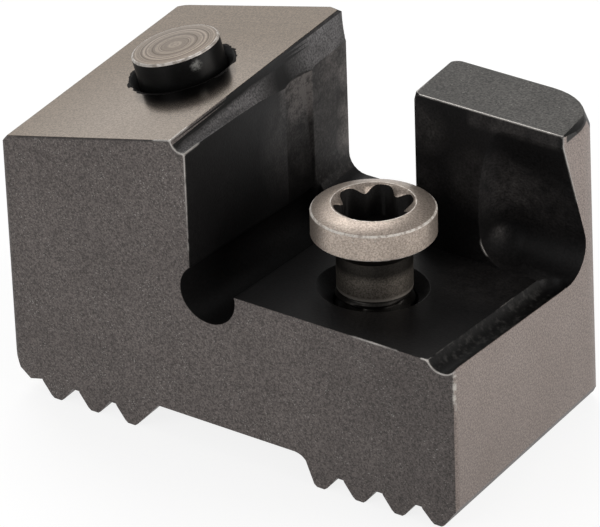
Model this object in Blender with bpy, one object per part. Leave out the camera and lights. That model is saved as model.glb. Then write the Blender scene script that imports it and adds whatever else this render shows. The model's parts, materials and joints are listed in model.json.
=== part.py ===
"""Milling cassette: a serrated steel body with an insert seat, its clamping screw and a locating pin.

Lengths are in metres. The corner frame used for sizes has x = 0 on the right face (negative to the left),
y = 0 on the front face and z = 0 on the plane of the serration crests. The object itself stands on the
middle of its box, so at() moves each point of the corner frame there.
"""

import math

import bmesh
import bpy
from mathutils import Matrix, Vector

MM = 0.001

# Body block
LENGTH = 23.25 * MM
DEPTH = 12.7 * MM
LEFT_FACE_TURN = math.radians(2.0)
BACK_RIGHT_RADIUS_LOW = 1.5 * MM
BACK_RIGHT_RADIUS_HIGH = 2.2 * MM
BACK_RIGHT_RADIUS_TOP = 3.0 * MM
CORNER_FLARE_HEIGHT = 0.9 * MM
BACK_LEFT_RADIUS = 0.9 * MM
FRONT_EDGE_RADIUS = 0.2 * MM

# Serrated underside
TOOTH_PITCH = 2.0 * MM
TOOTH_DEPTH = 0.85 * MM
TOOTH_FLANK_ANGLE = math.radians(36.0)
TOOTH_ROOT_FLAT = 0.26 * MM
TOOTH_BREAK = 0.12 * MM
FIRST_CREST = 1.0 * MM
RIGHT_TEETH = 4
LEFT_TEETH = 3
RELIEF_HEIGHT = 1.47 * MM
RELIEF_RADIUS = 0.55 * MM
RELIEF_FLANK_ANGLE = math.radians(22.5)
LEFT_FOOT_WIDTH = 0.8 * MM
LEFT_FOOT_RISE = 1.3 * MM

# Sloping clamping face of the tall block
TALL_HEIGHT_FRONT_LEFT = 12.93 * MM
CLAMP_SLOPE = math.radians(14.7)
CLAMP_RISE_TO_BACK = math.radians(2.15)
CLAMP_LEFT_CHAMFER = 0.35 * MM

# Insert seat
SEAT_HEIGHT_FRONT = 8.38 * MM
SEAT_FALL = math.radians(4.9)
WALL_FROM_RIGHT = 13.45 * MM
WALL_TURN = math.radians(2.2)
WALL_END_RADIUS = 6.0 * MM
LIP_THICKNESS = 2.5 * MM
LIP_FROM_RIGHT = 13.5 * MM
CHANNEL_HEIGHT = 7.67 * MM
CHANNEL_RADIUS = 0.9 * MM
CHANNEL_START = 0.3 * MM
CORNER_BORE_RADIUS = 1.42 * MM
CORNER_BORE_FROM_WALL = 0.88 * MM
CORNER_BORE_DROP = 0.3 * MM
EDGE_GROOVE_RADIUS = 0.75 * MM
EDGE_GROOVE_DEPTH = 0.46 * MM

# Cove along the tall block's right top edge
COVE_TOP_FROM_RIGHT_FRONT = 14.19 * MM
COVE_TOP_FROM_RIGHT_BACK = 13.68 * MM
COVE_DROP_FRONT = 0.3 * MM
COVE_DROP_MIDDLE = 0.95 * MM
COVE_DROP_DEEPEST = 1.75 * MM
COVE_DROP_LIP = 1.57 * MM
COVE_DROP_BACK = 1.84 * MM
COVE_HOLLOW_FRONT = 0.22 * MM
COVE_HOLLOW_BACK = 0.05 * MM

# Post behind the seat
POST_WIDTH = 7.51 * MM
POST_THICKNESS = 3.79 * MM
POST_HEIGHT = 15.18 * MM
POST_FALL = math.radians(3.7)
POST_FLANK_TURN = math.radians(5.0)
POST_CORNER_CUT = 0.5 * MM
POST_CORNER_START = 0.04 * MM
POST_BACK_LEFT_RADIUS = 0.5 * MM

# Ball-nosed recess in the post's front face
RECESS_RADIUS = 1.43 * MM
RECESS_TILT = math.radians(18.7)
RECESS_LEFT_CENTRE = 2.9 * MM
RECESS_BEHIND_POST_FACE = 0.39 * MM
RECESS_HEIGHT = 0.6 * MM

# Clamping screw, standing as far out as an open seat leaves it
SCREW_FROM_RIGHT = 6.86 * MM
SCREW_FROM_FRONT = 4.47 * MM
SCREW_LEAN_LEFT = math.radians(1.5)
SCREW_LEAN_BACK = math.radians(3.0)
SCREW_LIFT = 2.57 * MM
HEAD_DIAMETER = 5.5 * MM
HEAD_SIDE = 1.24 * MM
HEAD_CONE = 0.26 * MM
HEAD_RING_DIAMETER = 3.75 * MM
HEAD_EDGE_BREAK = 0.08 * MM
SEATING_CONE_DIAMETER = 5.0 * MM
SEATING_CONE_HEIGHT = 0.75 * MM
NECK_DIAMETER = 3.35 * MM
NECK_LENGTH = 2.5 * MM
THREAD_DIAMETER = 3.5 * MM
THREAD_LENGTH = 4.6 * MM
THREAD_CLEARANCE = 0.1 * MM
SOCKET_ACROSS = 3.5 * MM
SOCKET_WAIST = 2.72 * MM
SOCKET_DEPTH = 1.55 * MM
SOCKET_TURN = math.radians(-11.6)
SOCKET_MOUTH_DIAMETER = 3.66 * MM
SOCKET_MOUTH_DEPTH = 0.3 * MM
SCREW_HOLE_MOUTH_DIAMETER = 4.95 * MM
SCREW_HOLE_MOUTH_ANGLE = math.radians(45.0)

# Locating pin
PIN_DIAMETER = 4.0 * MM
PIN_PROUD = 1.2 * MM
PIN_SUNK = 5.0 * MM
PIN_END_CHAMFER = 0.16 * MM
PIN_FROM_RIGHT = 18.07 * MM
PIN_FROM_FRONT = 6.57 * MM
PIN_CLEARANCE = 0.05 * MM
PIN_HOLE_MOUTH_DIAMETER = 4.78 * MM
PIN_HOLE_SPARE = 0.6 * MM

# Fineness of round forms and the overshoot of the cutters
ROUND_SIDES = 48
BALL_RINGS = 7
PAST = 1.5 * MM
SKY = 22.0 * MM


def at(x, y, z):
    """A point of the corner frame, moved to the frame whose origin is under the middle of the box."""
    return Vector((x + LENGTH / 2, y - DEPTH / 2, z))


def clamp_face(x, y):
    """Height of the sloping clamping face."""
    rise = (x + LENGTH) * math.tan(CLAMP_SLOPE) + y * math.tan(CLAMP_RISE_TO_BACK)
    return TALL_HEIGHT_FRONT_LEFT + rise


def seat_face(y):
    """Height of the insert seat, which falls toward the back."""
    return SEAT_HEIGHT_FRONT - y * math.tan(SEAT_FALL)


def post_top(y):
    """Height of the post's top face, which falls toward the back."""
    return POST_HEIGHT - (y - post_front()) * math.tan(POST_FALL)


def post_front():
    return DEPTH - POST_THICKNESS


def lip_front():
    return DEPTH - LIP_THICKNESS


def wall_face(y):
    """The seat's side wall, turned a little away toward the back."""
    return -WALL_FROM_RIGHT - y * math.tan(WALL_TURN)


def post_flank(y):
    return -POST_WIDTH - (y - post_front()) * math.tan(POST_FLANK_TURN)


def arc(centre, radius, start, end, steps):
    """Points of a plane arc, both ends included."""
    turns = [start + (end - start) * step / steps for step in range(steps + 1)]
    return [(centre[0] + radius * math.cos(turn), centre[1] + radius * math.sin(turn)) for turn in turns]


def bowed(start, end, hollow, steps):
    """Points of a shallow arc from start to end that bows to the left of that direction."""
    chord = Vector(end) - Vector(start)
    half = chord.length / 2
    radius = (half * half + hollow * hollow) / (2 * hollow)
    side = Vector((-chord.y, chord.x)).normalized()
    centre = Vector(start) + chord / 2 - side * (radius - hollow)
    first = math.atan2(start[1] - centre.y, start[0] - centre.x)
    last = math.atan2(end[1] - centre.y, end[0] - centre.x)
    sweep = (last - first + math.pi) % (2 * math.pi) - math.pi
    return arc(centre, radius, first, first + sweep, steps)


def new_object(name, mesh_data):
    mesh = bpy.data.meshes.new(name)
    bmesh.ops.recalc_face_normals(mesh_data, faces=mesh_data.faces)
    mesh_data.to_mesh(mesh)
    mesh_data.free()
    thing = bpy.data.objects.new(name, mesh)
    bpy.context.scene.collection.objects.link(thing)
    return thing


def lofted(name, outlines):
    """A closed solid through two or more outlines with the same number of corners."""
    shape = bmesh.new()
    loops = [[shape.verts.new(point) for point in outline] for outline in outlines]
    shape.faces.new(loops[0])
    shape.faces.new(loops[-1])
    for low, high in zip(loops, loops[1:]):
        for index, corner in enumerate(low):
            following = (index + 1) % len(low)
            shape.faces.new((corner, low[following], high[following], high[index]))
    return new_object(name, shape)


def along_depth(name, outline, front, back):
    """A prism with an x-z outline that runs from front to back."""
    first = [at(x, front, z) for x, z in outline]
    second = [at(x, back, z) for x, z in outline]
    return lofted(name, [first, second])


def upright(name, outline, bottom, top):
    """A solid with an x-y outline whose bottom and top heights follow functions of x and y."""
    first = [at(x, y, bottom(x, y)) for x, y in outline]
    second = [at(x, y, top(x, y)) for x, y in outline]
    return lofted(name, [first, second])


def turned(name, profile, sides=ROUND_SIDES):
    """A solid of revolution about its own z axis.

    The profile is a list of radius and height; its ends are flat discs, or points where the radius is zero.
    """
    shape = bmesh.new()
    rings = []
    for radius, height in profile:
        if radius == 0:
            rings.append([shape.verts.new((0, 0, height))])
            continue
        turns = [2 * math.pi * side / sides for side in range(sides)]
        rings.append([
            shape.verts.new((radius * math.cos(turn), radius * math.sin(turn), height)) for turn in turns
        ])
    for low, high in zip(rings, rings[1:]):
        for side in range(sides):
            following = (side + 1) % sides
            if len(low) == 1:
                shape.faces.new((low[0], high[side], high[following]))
            elif len(high) == 1:
                shape.faces.new((low[side], low[following], high[0]))
            else:
                shape.faces.new((low[side], low[following], high[following], high[side]))
    for end in (rings[0], rings[-1]):
        if len(end) > 1:
            shape.faces.new(end)
    return new_object(name, shape)


def combine(body, tool, operation):
    """Keep the tool out of the model and let it shape the body through a Boolean."""
    tool.hide_render = True
    tool.display_type = "WIRE"
    step = body.modifiers.new(tool.name, "BOOLEAN")
    step.operation = operation
    step.solver = "EXACT"
    step.object = tool


def axis_frame(direction, origin):
    """A matrix whose z axis runs along direction, with its x axis kept level."""
    up = direction.normalized()
    level = Vector((0, 1, 0)).cross(up).normalized()
    matrix = Matrix((level, up.cross(level), up)).transposed().to_4x4()
    matrix.translation = origin
    return matrix


def steel(name, colour, roughness, metallic):
    material = bpy.data.materials.new(name)
    material.use_nodes = True
    shader = material.node_tree.nodes["Principled BSDF"]
    shader.inputs["Base Color"].default_value = (*colour, 1.0)
    shader.inputs["Roughness"].default_value = roughness
    shader.inputs["Metallic"].default_value = metallic
    material.diffuse_color = (*colour, 1.0)
    return material


def finish(thing, material, sharp_degrees=30.0):
    thing.data.materials.append(material)
    thing.data.shade_smooth()
    thing.data.set_sharp_from_angle(angle=math.radians(sharp_degrees))


def flank_run(rise):
    return rise * math.tan(TOOTH_FLANK_ANGLE)


def crest_half_width():
    """Half of a crest's flat, left over by the root's flat and the two flanks."""
    return (TOOTH_PITCH - TOOTH_ROOT_FLAT) / 2 - flank_run(TOOTH_DEPTH)


def tooth(centre):
    """One serration from right to left, with its crest edges broken."""
    half = crest_half_width()
    side = half + flank_run(TOOTH_BREAK)
    root = half + flank_run(TOOTH_DEPTH)
    near_root = half + flank_run(TOOTH_DEPTH - TOOTH_BREAK)
    right = [(root - TOOTH_BREAK / 2, TOOTH_DEPTH - TOOTH_BREAK / 3), (near_root, TOOTH_DEPTH - TOOTH_BREAK)]
    right.extend([(side, TOOTH_BREAK), (half - TOOTH_BREAK / 2, 0.0)])
    left = [(-x, z) for x, z in reversed(right)]
    return [(centre + x, z) for x, z in right + left]


def underside():
    """The bottom outline from the right face to the left face."""
    half = crest_half_width()
    right_centres = [-FIRST_CREST - TOOTH_PITCH * index for index in range(RIGHT_TEETH)]
    room = LENGTH - FIRST_CREST - LEFT_FOOT_WIDTH - TOOTH_PITCH / 2
    left_end = FIRST_CREST + TOOTH_PITCH * math.floor(room / TOOTH_PITCH)
    left_centres = [-left_end + TOOTH_PITCH * index for index in reversed(range(LEFT_TEETH))]
    points = [(0.0, (FIRST_CREST - half) / math.tan(TOOTH_FLANK_ANGLE))]
    points.extend(tooth(right_centres[0])[2:])
    for centre in right_centres[1:]:
        points.extend(tooth(centre))
    del points[-2:]
    flank_top = RELIEF_HEIGHT - RELIEF_RADIUS / 2
    relief_right = right_centres[-1] - half - flank_top * math.tan(RELIEF_FLANK_ANGLE)
    points.append((relief_right, flank_top))
    points.append((relief_right - RELIEF_RADIUS / 3, RELIEF_HEIGHT - RELIEF_RADIUS / 5))
    points.append((relief_right - RELIEF_RADIUS * 2 / 3, RELIEF_HEIGHT - RELIEF_RADIUS / 16))
    points.append((relief_right - RELIEF_RADIUS, RELIEF_HEIGHT))
    relief_left = left_centres[0] + half + flank_run(TOOTH_DEPTH)
    points.append((relief_left + RELIEF_HEIGHT - TOOTH_DEPTH, RELIEF_HEIGHT))
    points.append((relief_left, TOOTH_DEPTH - TOOTH_BREAK))
    points.extend(tooth(left_centres[0])[2:])
    for centre in left_centres[1:]:
        points.extend(tooth(centre))
    foot = LEFT_FOOT_WIDTH * 2 / 3
    points.append((-LENGTH + LEFT_FOOT_WIDTH, TOOTH_DEPTH * 3 / 4))
    points.append((-LENGTH + LEFT_FOOT_WIDTH - foot, TOOTH_DEPTH * 3 / 4 + LEFT_FOOT_RISE / 3))
    points.append((-LENGTH, TOOTH_DEPTH * 3 / 4 + LEFT_FOOT_RISE))
    return points


def blank_outline(back_right_radius):
    """The plan of the body block with its rounded upright edges, anticlockwise from the front right edge."""
    quarter = math.pi / 2
    edge = FRONT_EDGE_RADIUS
    slant = DEPTH * math.tan(LEFT_FACE_TURN)
    points = arc((-edge, edge), edge, -quarter, 0, 3)
    right = back_right_radius
    points.extend(arc((-right, DEPTH - right), right, 0, quarter, 10))
    left = BACK_LEFT_RADIUS
    back_left = -LENGTH + slant + left * (1 - math.tan(LEFT_FACE_TURN))
    points.extend(arc((back_left, DEPTH - left), left, quarter, 2 * quarter, 6))
    points.extend(arc((-LENGTH + edge, edge), edge, 2 * quarter, 3 * quarter, 3))
    return points


def body_blank():
    """The serrated prism, trimmed to the plan of the block."""
    outline = [*underside(), (-LENGTH, SKY), (0.0, SKY)]
    body = along_depth("cassette_body", outline, -PAST, DEPTH + PAST)
    levels = [
        (-PAST, BACK_RIGHT_RADIUS_LOW),
        (POST_HEIGHT - CORNER_FLARE_HEIGHT, BACK_RIGHT_RADIUS_HIGH),
        (POST_HEIGHT, BACK_RIGHT_RADIUS_TOP),
        (SKY - PAST, BACK_RIGHT_RADIUS_TOP),
    ]
    outlines = [[at(x, y, height) for x, y in blank_outline(radius)] for height, radius in levels]
    combine(body, lofted("plan_of_block", outlines), "INTERSECT")
    return body


def cut_clamp_face(body):
    """The sloping face and the chamfer along its left edge."""
    corners = [(PAST, -PAST), (PAST, DEPTH + PAST), (-LENGTH - PAST, DEPTH + PAST), (-LENGTH - PAST, -PAST)]
    above = upright("above_clamp_face", corners, clamp_face, lambda x, y: 2 * SKY)
    combine(body, above, "DIFFERENCE")

    def edge(x, y):
        inward = x + LENGTH - y * math.tan(LEFT_FACE_TURN)
        return clamp_face(x, y) - CLAMP_LEFT_CHAMFER + inward

    reach = 3 * CLAMP_LEFT_CHAMFER
    strip = [
        (-LENGTH + reach, -PAST),
        (-LENGTH + reach, DEPTH + PAST),
        (-LENGTH - reach, DEPTH + PAST),
        (-LENGTH - reach, -PAST),
    ]
    combine(body, upright("clamp_face_chamfer", strip, edge, lambda x, y: SKY), "DIFFERENCE")


def cut_post_top(body):
    """The face that ends the post, and everything above the seat in front of it."""
    left = -(POST_WIDTH + LIP_FROM_RIGHT) / 2
    corners = [(PAST, -PAST), (PAST, DEPTH + PAST), (left, DEPTH + PAST), (left, -PAST)]
    above = upright("above_post", corners, lambda x, y: post_top(y), lambda x, y: 2 * SKY)
    combine(body, above, "DIFFERENCE")


def wall_run():
    """Length of the radius by which the side wall comes back out to the lip."""
    recess = abs(LIP_FROM_RIGHT + wall_face(lip_front()))
    return math.sqrt(max(2 * WALL_END_RADIUS * recess - recess * recess, 0.0))


def cut_seat(body):
    """The milled insert seat: side wall with its run-out radius, tilted floor and post face."""
    end = lip_front()
    start = end - wall_run()
    centre = (wall_face(start) + WALL_END_RADIUS, start)
    sweep = math.asin(min(wall_run() / WALL_END_RADIUS, 1.0))
    inside = post_flank(end) - CHANNEL_RADIUS / 3
    outline = [(PAST, -PAST), (PAST, post_front()), (inside, post_front()), (inside, end)]
    outline.extend(reversed(arc(centre, WALL_END_RADIUS, math.pi, math.pi - sweep, 6)))
    outline.append((wall_face(-PAST), -PAST))
    seat = upright("seat", outline, lambda x, y: seat_face(y), lambda x, y: SKY + PAST)
    combine(body, seat, "DIFFERENCE")


def channel_outline(right):
    """The U of the channel between the lip and the post, with its right side at the given x."""
    radius = CHANNEL_RADIUS
    half = math.pi
    left = -LIP_FROM_RIGHT
    points = arc((left + radius, CHANNEL_HEIGHT + radius), radius, half, 1.5 * half, 6)
    points.extend(arc((right - radius, CHANNEL_HEIGHT + radius), radius, 1.5 * half, 2 * half, 6))
    points.extend([(right, SKY + 2 * PAST), (left, SKY + 2 * PAST)])
    return points


def cut_channel(body):
    """The through channel behind the seat, whose right side follows the post's flank."""
    front = post_front() - CHANNEL_START
    back = DEPTH + PAST
    first = [at(x, front, z) for x, z in channel_outline(post_flank(front))]
    second = [at(x, back, z) for x, z in channel_outline(post_flank(back))]
    combine(body, lofted("channel", [first, second]), "DIFFERENCE")


def round_post_edge(body):
    """The rounded upright edge at the post's back, where the channel opens in the back face."""
    radius = POST_BACK_LEFT_RADIUS
    hair = 0.01 * MM
    x = post_flank(DEPTH)
    curve = arc((x + radius - hair, DEPTH - radius + hair), radius, math.pi, math.pi / 2, 5)
    outline = [(x - radius, DEPTH - radius + hair), *curve]
    outline.extend([(x + radius - hair, DEPTH + PAST), (x - radius, DEPTH + PAST)])
    low = CHANNEL_HEIGHT + CHANNEL_RADIUS
    combine(body, upright("post_back_edge", outline, lambda x, y: low, lambda x, y: SKY), "DIFFERENCE")


def seat_direction():
    """The fall line of the seat."""
    return Vector((0, math.cos(SEAT_FALL), -math.sin(SEAT_FALL)))


def cut_corner_bore(body):
    """The round relief along the foot of the side wall, which stops at the lip."""
    x = wall_face(0) + CORNER_BORE_FROM_WALL
    height = SEAT_HEIGHT_FRONT - CORNER_BORE_DROP
    length = (lip_front() + PAST) / math.cos(SEAT_FALL)
    tip = CORNER_BORE_RADIUS / 3
    profile = [(CORNER_BORE_RADIUS, 0), (CORNER_BORE_RADIUS, length - tip), (0, length)]
    bore = turned("corner_bore", profile)
    mouth = at(x, 0, height) - seat_direction() * PAST
    bore.matrix_world = axis_frame(seat_direction(), mouth)
    combine(body, bore, "DIFFERENCE")


def cut_edge_groove(body):
    """The round-bottomed groove along the seat's right edge, which runs into the recess."""
    above = EDGE_GROOVE_RADIUS - EDGE_GROOVE_DEPTH
    half = math.sqrt(EDGE_GROOVE_RADIUS ** 2 - above ** 2)
    drop = 0.01 * MM
    length = post_front() + PAST
    quarter = math.pi / 2
    ball = arc((0, length), EDGE_GROOVE_RADIUS, 0, quarter, BALL_RINGS)
    groove = turned("edge_groove", [(EDGE_GROOVE_RADIUS, 0), *ball[:-1], (0, length + EDGE_GROOVE_RADIUS)])
    start = at(-half + drop, 0, SEAT_HEIGHT_FRONT + above) - seat_direction() * PAST
    groove.matrix_world = axis_frame(seat_direction(), start)
    combine(body, groove, "DIFFERENCE")


def cove_section(y, foot_x, drop):
    """The cove's section at one depth: from the wall up to the clamping face, bowed into the block."""
    back = y / DEPTH
    top_x = -COVE_TOP_FROM_RIGHT_FRONT + back * (COVE_TOP_FROM_RIGHT_FRONT - COVE_TOP_FROM_RIGHT_BACK)
    hollow = COVE_HOLLOW_FRONT + back * (COVE_HOLLOW_BACK - COVE_HOLLOW_FRONT)
    top = clamp_face(top_x, y)
    curve = [Vector(point) for point in bowed((foot_x, top - drop), (top_x, top), hollow, 8)]
    foot = curve[0] + (curve[0] - curve[1]) / 2
    over = curve[-1] + (curve[-1] - curve[-2]) / 2
    right = foot_x + PAST
    section = [foot, *curve[1:-1], over, Vector((over.x, top + PAST)), Vector((right, top + PAST))]
    section.append(Vector((right, foot.y)))
    return [at(point.x, y, point.y) for point in section]


def cut_cove(body):
    """The hollow chamfer along the right top edge, wide and shallow at the front, steep at the back."""
    turn = lip_front() - wall_run()
    sections = [cove_section(-PAST, wall_face(-PAST), COVE_DROP_FRONT)]
    sections.append(cove_section(turn / 2, wall_face(turn / 2), COVE_DROP_MIDDLE))
    sections.append(cove_section(turn, wall_face(turn), COVE_DROP_DEEPEST))
    sections.append(cove_section(lip_front(), -LIP_FROM_RIGHT, COVE_DROP_LIP))
    sections.append(cove_section(DEPTH + PAST, -LIP_FROM_RIGHT, COVE_DROP_BACK))
    combine(body, lofted("cove", sections), "DIFFERENCE")


def recess_half_profile():
    """Half of the ball-nosed cutter's outline, from its pole up its side."""
    quarter = math.pi / 2
    ball = arc((0, 0), RECESS_RADIUS, -quarter, 0, BALL_RINGS)
    return [(0, -RECESS_RADIUS), *ball[1:], (RECESS_RADIUS, POST_HEIGHT), (0, POST_HEIGHT)]


def cut_recess(body):
    """The recess in the post's front face, left by a tilted ball-nosed cutter that came in from the right."""
    half = recess_half_profile()
    width = RECESS_LEFT_CENTRE + PAST
    steps = ROUND_SIDES // 2
    shape = bmesh.new()
    inner = half[1:-1]
    bottom = shape.verts.new((0, 0, half[0][1]))
    top = shape.verts.new((0, 0, half[-1][1]))
    columns = []
    for step in range(steps + 1):
        turn = math.pi / 2 + math.pi * step / steps
        columns.append([shape.verts.new((r * math.cos(turn), r * math.sin(turn), z)) for r, z in inner])
    for near, far in zip(columns, columns[1:]):
        shape.faces.new((bottom, far[0], near[0]))
        shape.faces.new((top, near[-1], far[-1]))
        for level in range(len(inner) - 1):
            shape.faces.new((near[level], far[level], far[level + 1], near[level + 1]))
    section = [bottom, *columns[0], top, *reversed(columns[-1])]
    ends = [shape.verts.new(corner.co + Vector((width, 0, 0))) for corner in section]
    shape.faces.new(ends)
    for index, corner in enumerate(section):
        following = (index + 1) % len(section)
        shape.faces.new((corner, section[following], ends[following], ends[index]))
    recess = new_object("recess", shape)
    depth = post_front() + RECESS_BEHIND_POST_FACE
    centre = at(-RECESS_LEFT_CENTRE, depth, seat_face(0) + RECESS_HEIGHT)
    recess.matrix_world = Matrix.Translation(centre) @ Matrix.Rotation(RECESS_TILT, 4, "X")
    combine(body, recess, "DIFFERENCE")


def cut_post_corner(body):
    """The facet on the post's right top edge, which grows from nothing at the front to the back."""
    front = post_front() - PAST
    back = DEPTH + PAST
    growth = POST_CORNER_CUT / POST_THICKNESS
    reach = 4 * POST_CORNER_CUT
    sections = []
    for y in (front, back):
        cut = POST_CORNER_START + growth * (y - post_front())
        top = post_top(y)
        corners = [(-cut - reach, top + reach), (reach, top + reach), (reach, top - cut - reach)]
        sections.append([at(x, y, z) for x, z in corners])
    combine(body, lofted("post_corner", sections), "DIFFERENCE")


def screw_axis():
    return Vector((-math.tan(SCREW_LEAN_LEFT), math.tan(SCREW_LEAN_BACK), 1.0)).normalized()


def screw_foot():
    """Where the screw's axis passes through the seat."""
    y = SCREW_FROM_FRONT
    return at(-SCREW_FROM_RIGHT, y, seat_face(y))


def cut_screw_hole(body):
    """The through hole of the clamping screw with its countersunk mouth."""
    radius = THREAD_DIAMETER / 2 + THREAD_CLEARANCE
    mouth = SCREW_HOLE_MOUTH_DIAMETER / 2
    depth = (mouth - radius) / math.tan(SCREW_HOLE_MOUTH_ANGLE)
    over = PAST / 2
    deep = SEAT_HEIGHT_FRONT + PAST
    profile = [(radius, -deep), (radius, -depth), (mouth + over * math.tan(SCREW_HOLE_MOUTH_ANGLE), over)]
    hole = turned("screw_hole", profile)
    hole.matrix_world = axis_frame(screw_axis(), screw_foot())
    combine(body, hole, "DIFFERENCE")


def pin_axis():
    return Vector((-math.tan(CLAMP_SLOPE), -math.tan(CLAMP_RISE_TO_BACK), 1.0)).normalized()


def pin_foot():
    """Where the pin's axis passes through the clamping face."""
    x = -PIN_FROM_RIGHT
    y = PIN_FROM_FRONT
    return at(x, y, clamp_face(x, y))


def cut_pin_hole(body):
    """The blind hole of the locating pin with its chamfered mouth."""
    radius = PIN_DIAMETER / 2 + PIN_CLEARANCE
    mouth = PIN_HOLE_MOUTH_DIAMETER / 2
    chamfer = mouth - radius
    deep = PIN_SUNK + PIN_HOLE_SPARE
    profile = [(radius, -deep), (radius, -chamfer), (mouth + PIN_PROUD, PIN_PROUD)]
    hole = turned("pin_hole", profile)
    hole.matrix_world = axis_frame(pin_axis(), pin_foot())
    combine(body, hole, "DIFFERENCE")


def build_body():
    body = body_blank()
    cut_clamp_face(body)
    cut_post_top(body)
    cut_seat(body)
    cut_channel(body)
    round_post_edge(body)
    cut_corner_bore(body)
    cut_edge_groove(body)
    cut_recess(body)
    cut_cove(body)
    cut_post_corner(body)
    cut_screw_hole(body)
    cut_pin_hole(body)
    finish(body, steel("blackened_steel", (0.085, 0.078, 0.072), 0.42, 0.85))


def socket_radius(turn):
    """Radius of the socket at an angle: six wide lobes with narrower ribs between them."""
    rib = (1 - math.cos(6 * (turn - SOCKET_TURN))) / 2
    return SOCKET_ACROSS / 2 - (SOCKET_ACROSS - SOCKET_WAIST) / 2 * rib * rib


def cut_socket(screw, head_top):
    """The six-lobed drive socket with a flat floor, and the cone that leads the key into it."""
    turns = [math.pi * side / ROUND_SIDES for side in range(2 * ROUND_SIDES)]
    plan = [(socket_radius(turn) * math.cos(turn), socket_radius(turn) * math.sin(turn)) for turn in turns]
    low = [Vector((x, y, head_top - SOCKET_DEPTH)) for x, y in plan]
    high = [Vector((x, y, head_top + PAST)) for x, y in plan]
    socket = lofted("screw_socket", [low, high])
    socket.parent = screw
    combine(screw, socket, "DIFFERENCE")
    mouth = SOCKET_MOUTH_DIAMETER / 2
    waist = SOCKET_WAIST / 2
    over = (mouth - waist) / 2
    foot = head_top - SOCKET_MOUTH_DEPTH
    cone = turned("socket_mouth", [(waist, foot), (mouth + over, head_top + SOCKET_MOUTH_DEPTH / 2)])
    cone.parent = screw
    cone.rotation_euler.z = math.pi / ROUND_SIDES / 2
    combine(screw, cone, "DIFFERENCE")


def build_screw():
    """The clamping screw, modelled on its own axis with its origin where the axis meets the seat."""
    head_low = SCREW_LIFT
    head_high = head_low + HEAD_SIDE
    head_top = head_high + HEAD_CONE
    neck_low = head_low - NECK_LENGTH
    head = HEAD_DIAMETER / 2
    neck = NECK_DIAMETER / 2
    thread = THREAD_DIAMETER / 2
    tip = neck_low - THREAD_LENGTH
    point = thread / 4
    profile = [(thread - point, tip), (thread, tip + point), (thread, neck_low - 2 * (thread - neck))]
    profile.extend([(neck, neck_low), (neck, head_low - SEATING_CONE_HEIGHT)])
    profile.append((SEATING_CONE_DIAMETER / 2, head_low))
    profile.extend([(head - HEAD_EDGE_BREAK, head_low), (head, head_low + HEAD_EDGE_BREAK)])
    profile.extend([(head, head_high - HEAD_EDGE_BREAK), (head - HEAD_EDGE_BREAK, head_high)])
    profile.append((HEAD_RING_DIAMETER / 2, head_top))
    screw = turned("clamp_screw", profile)
    screw.matrix_world = axis_frame(screw_axis(), screw_foot())
    cut_socket(screw, head_top)
    finish(screw, steel("bright_steel", (0.33, 0.29, 0.25), 0.38, 0.9))


def build_pin():
    """The pin, pressed in square to the clamping face."""
    radius = PIN_DIAMETER / 2
    edge = radius - PIN_END_CHAMFER
    high = PIN_PROUD - PIN_END_CHAMFER
    low = PIN_END_CHAMFER - PIN_SUNK
    profile = [(edge, -PIN_SUNK), (radius, low), (radius, high), (edge, PIN_PROUD)]
    pin = turned("locating_pin", profile)
    pin.matrix_world = axis_frame(pin_axis(), pin_foot())
    finish(pin, steel("dark_pin_steel", (0.16, 0.14, 0.125), 0.4, 0.85))


def clear_scene():
    for thing in list(bpy.data.objects):
        bpy.data.objects.remove(thing, do_unlink=True)


def main():
    clear_scene()
    build_body()
    build_screw()
    build_pin()


main()
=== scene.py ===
"""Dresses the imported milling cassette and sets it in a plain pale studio.

The frame has its origin under the middle of the box. The corner frame, used below for places on the body, has
x = 0 on the right face, y = 0 on the front face and z = 0 on the plane of the serration crests. It is in
millimetres; everything else is in metres unless MM is named with it.
"""

import json
import math

import bmesh
import bpy
from mathutils import Matrix, Vector

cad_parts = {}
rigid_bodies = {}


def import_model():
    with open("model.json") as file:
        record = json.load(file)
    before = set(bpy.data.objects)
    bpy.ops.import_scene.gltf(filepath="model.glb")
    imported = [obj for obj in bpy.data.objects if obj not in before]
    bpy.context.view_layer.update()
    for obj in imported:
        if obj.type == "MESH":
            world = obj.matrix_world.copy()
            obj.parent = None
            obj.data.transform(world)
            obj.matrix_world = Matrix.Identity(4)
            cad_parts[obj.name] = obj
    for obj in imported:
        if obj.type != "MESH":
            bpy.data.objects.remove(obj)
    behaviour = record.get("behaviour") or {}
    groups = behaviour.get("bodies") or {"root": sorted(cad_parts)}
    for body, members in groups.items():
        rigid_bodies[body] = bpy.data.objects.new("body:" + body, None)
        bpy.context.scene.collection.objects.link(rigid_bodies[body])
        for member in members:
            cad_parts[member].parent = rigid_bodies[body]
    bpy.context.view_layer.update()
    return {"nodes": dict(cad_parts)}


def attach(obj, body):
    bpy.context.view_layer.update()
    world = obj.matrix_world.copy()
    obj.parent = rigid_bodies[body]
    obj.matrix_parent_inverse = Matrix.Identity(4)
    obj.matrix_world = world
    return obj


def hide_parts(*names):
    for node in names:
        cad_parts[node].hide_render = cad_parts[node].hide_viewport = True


MM = 0.001
LENGTH = 23.25
DEPTH = 12.7

# How the solids' meshes are welded and flattened, where they stay sharp, and from what size a face is
# shaded flat, so that the rounded edges beside it don't tint it
WELD_DISTANCE = 2e-6
FLAT_ANGLE = math.radians(0.3)
SHARP_ANGLE = math.radians(32)
FLAT_AREA = 6.0 * MM * MM

# Places on the body, in the corner frame
WALL_FROM_RIGHT = 13.45
POST_FRONT = 8.91

# The worn tooth at the right end: how far in and how high it reaches, and by how much its parts are worn
WORN_TOOTH_FROM_RIGHT = 1.4
WORN_TOOTH_HEIGHT = 1.1
CREST_HEIGHT = 0.3
CREST_WEAR = 0.13
CORNER_WEAR = 0.2

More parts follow.
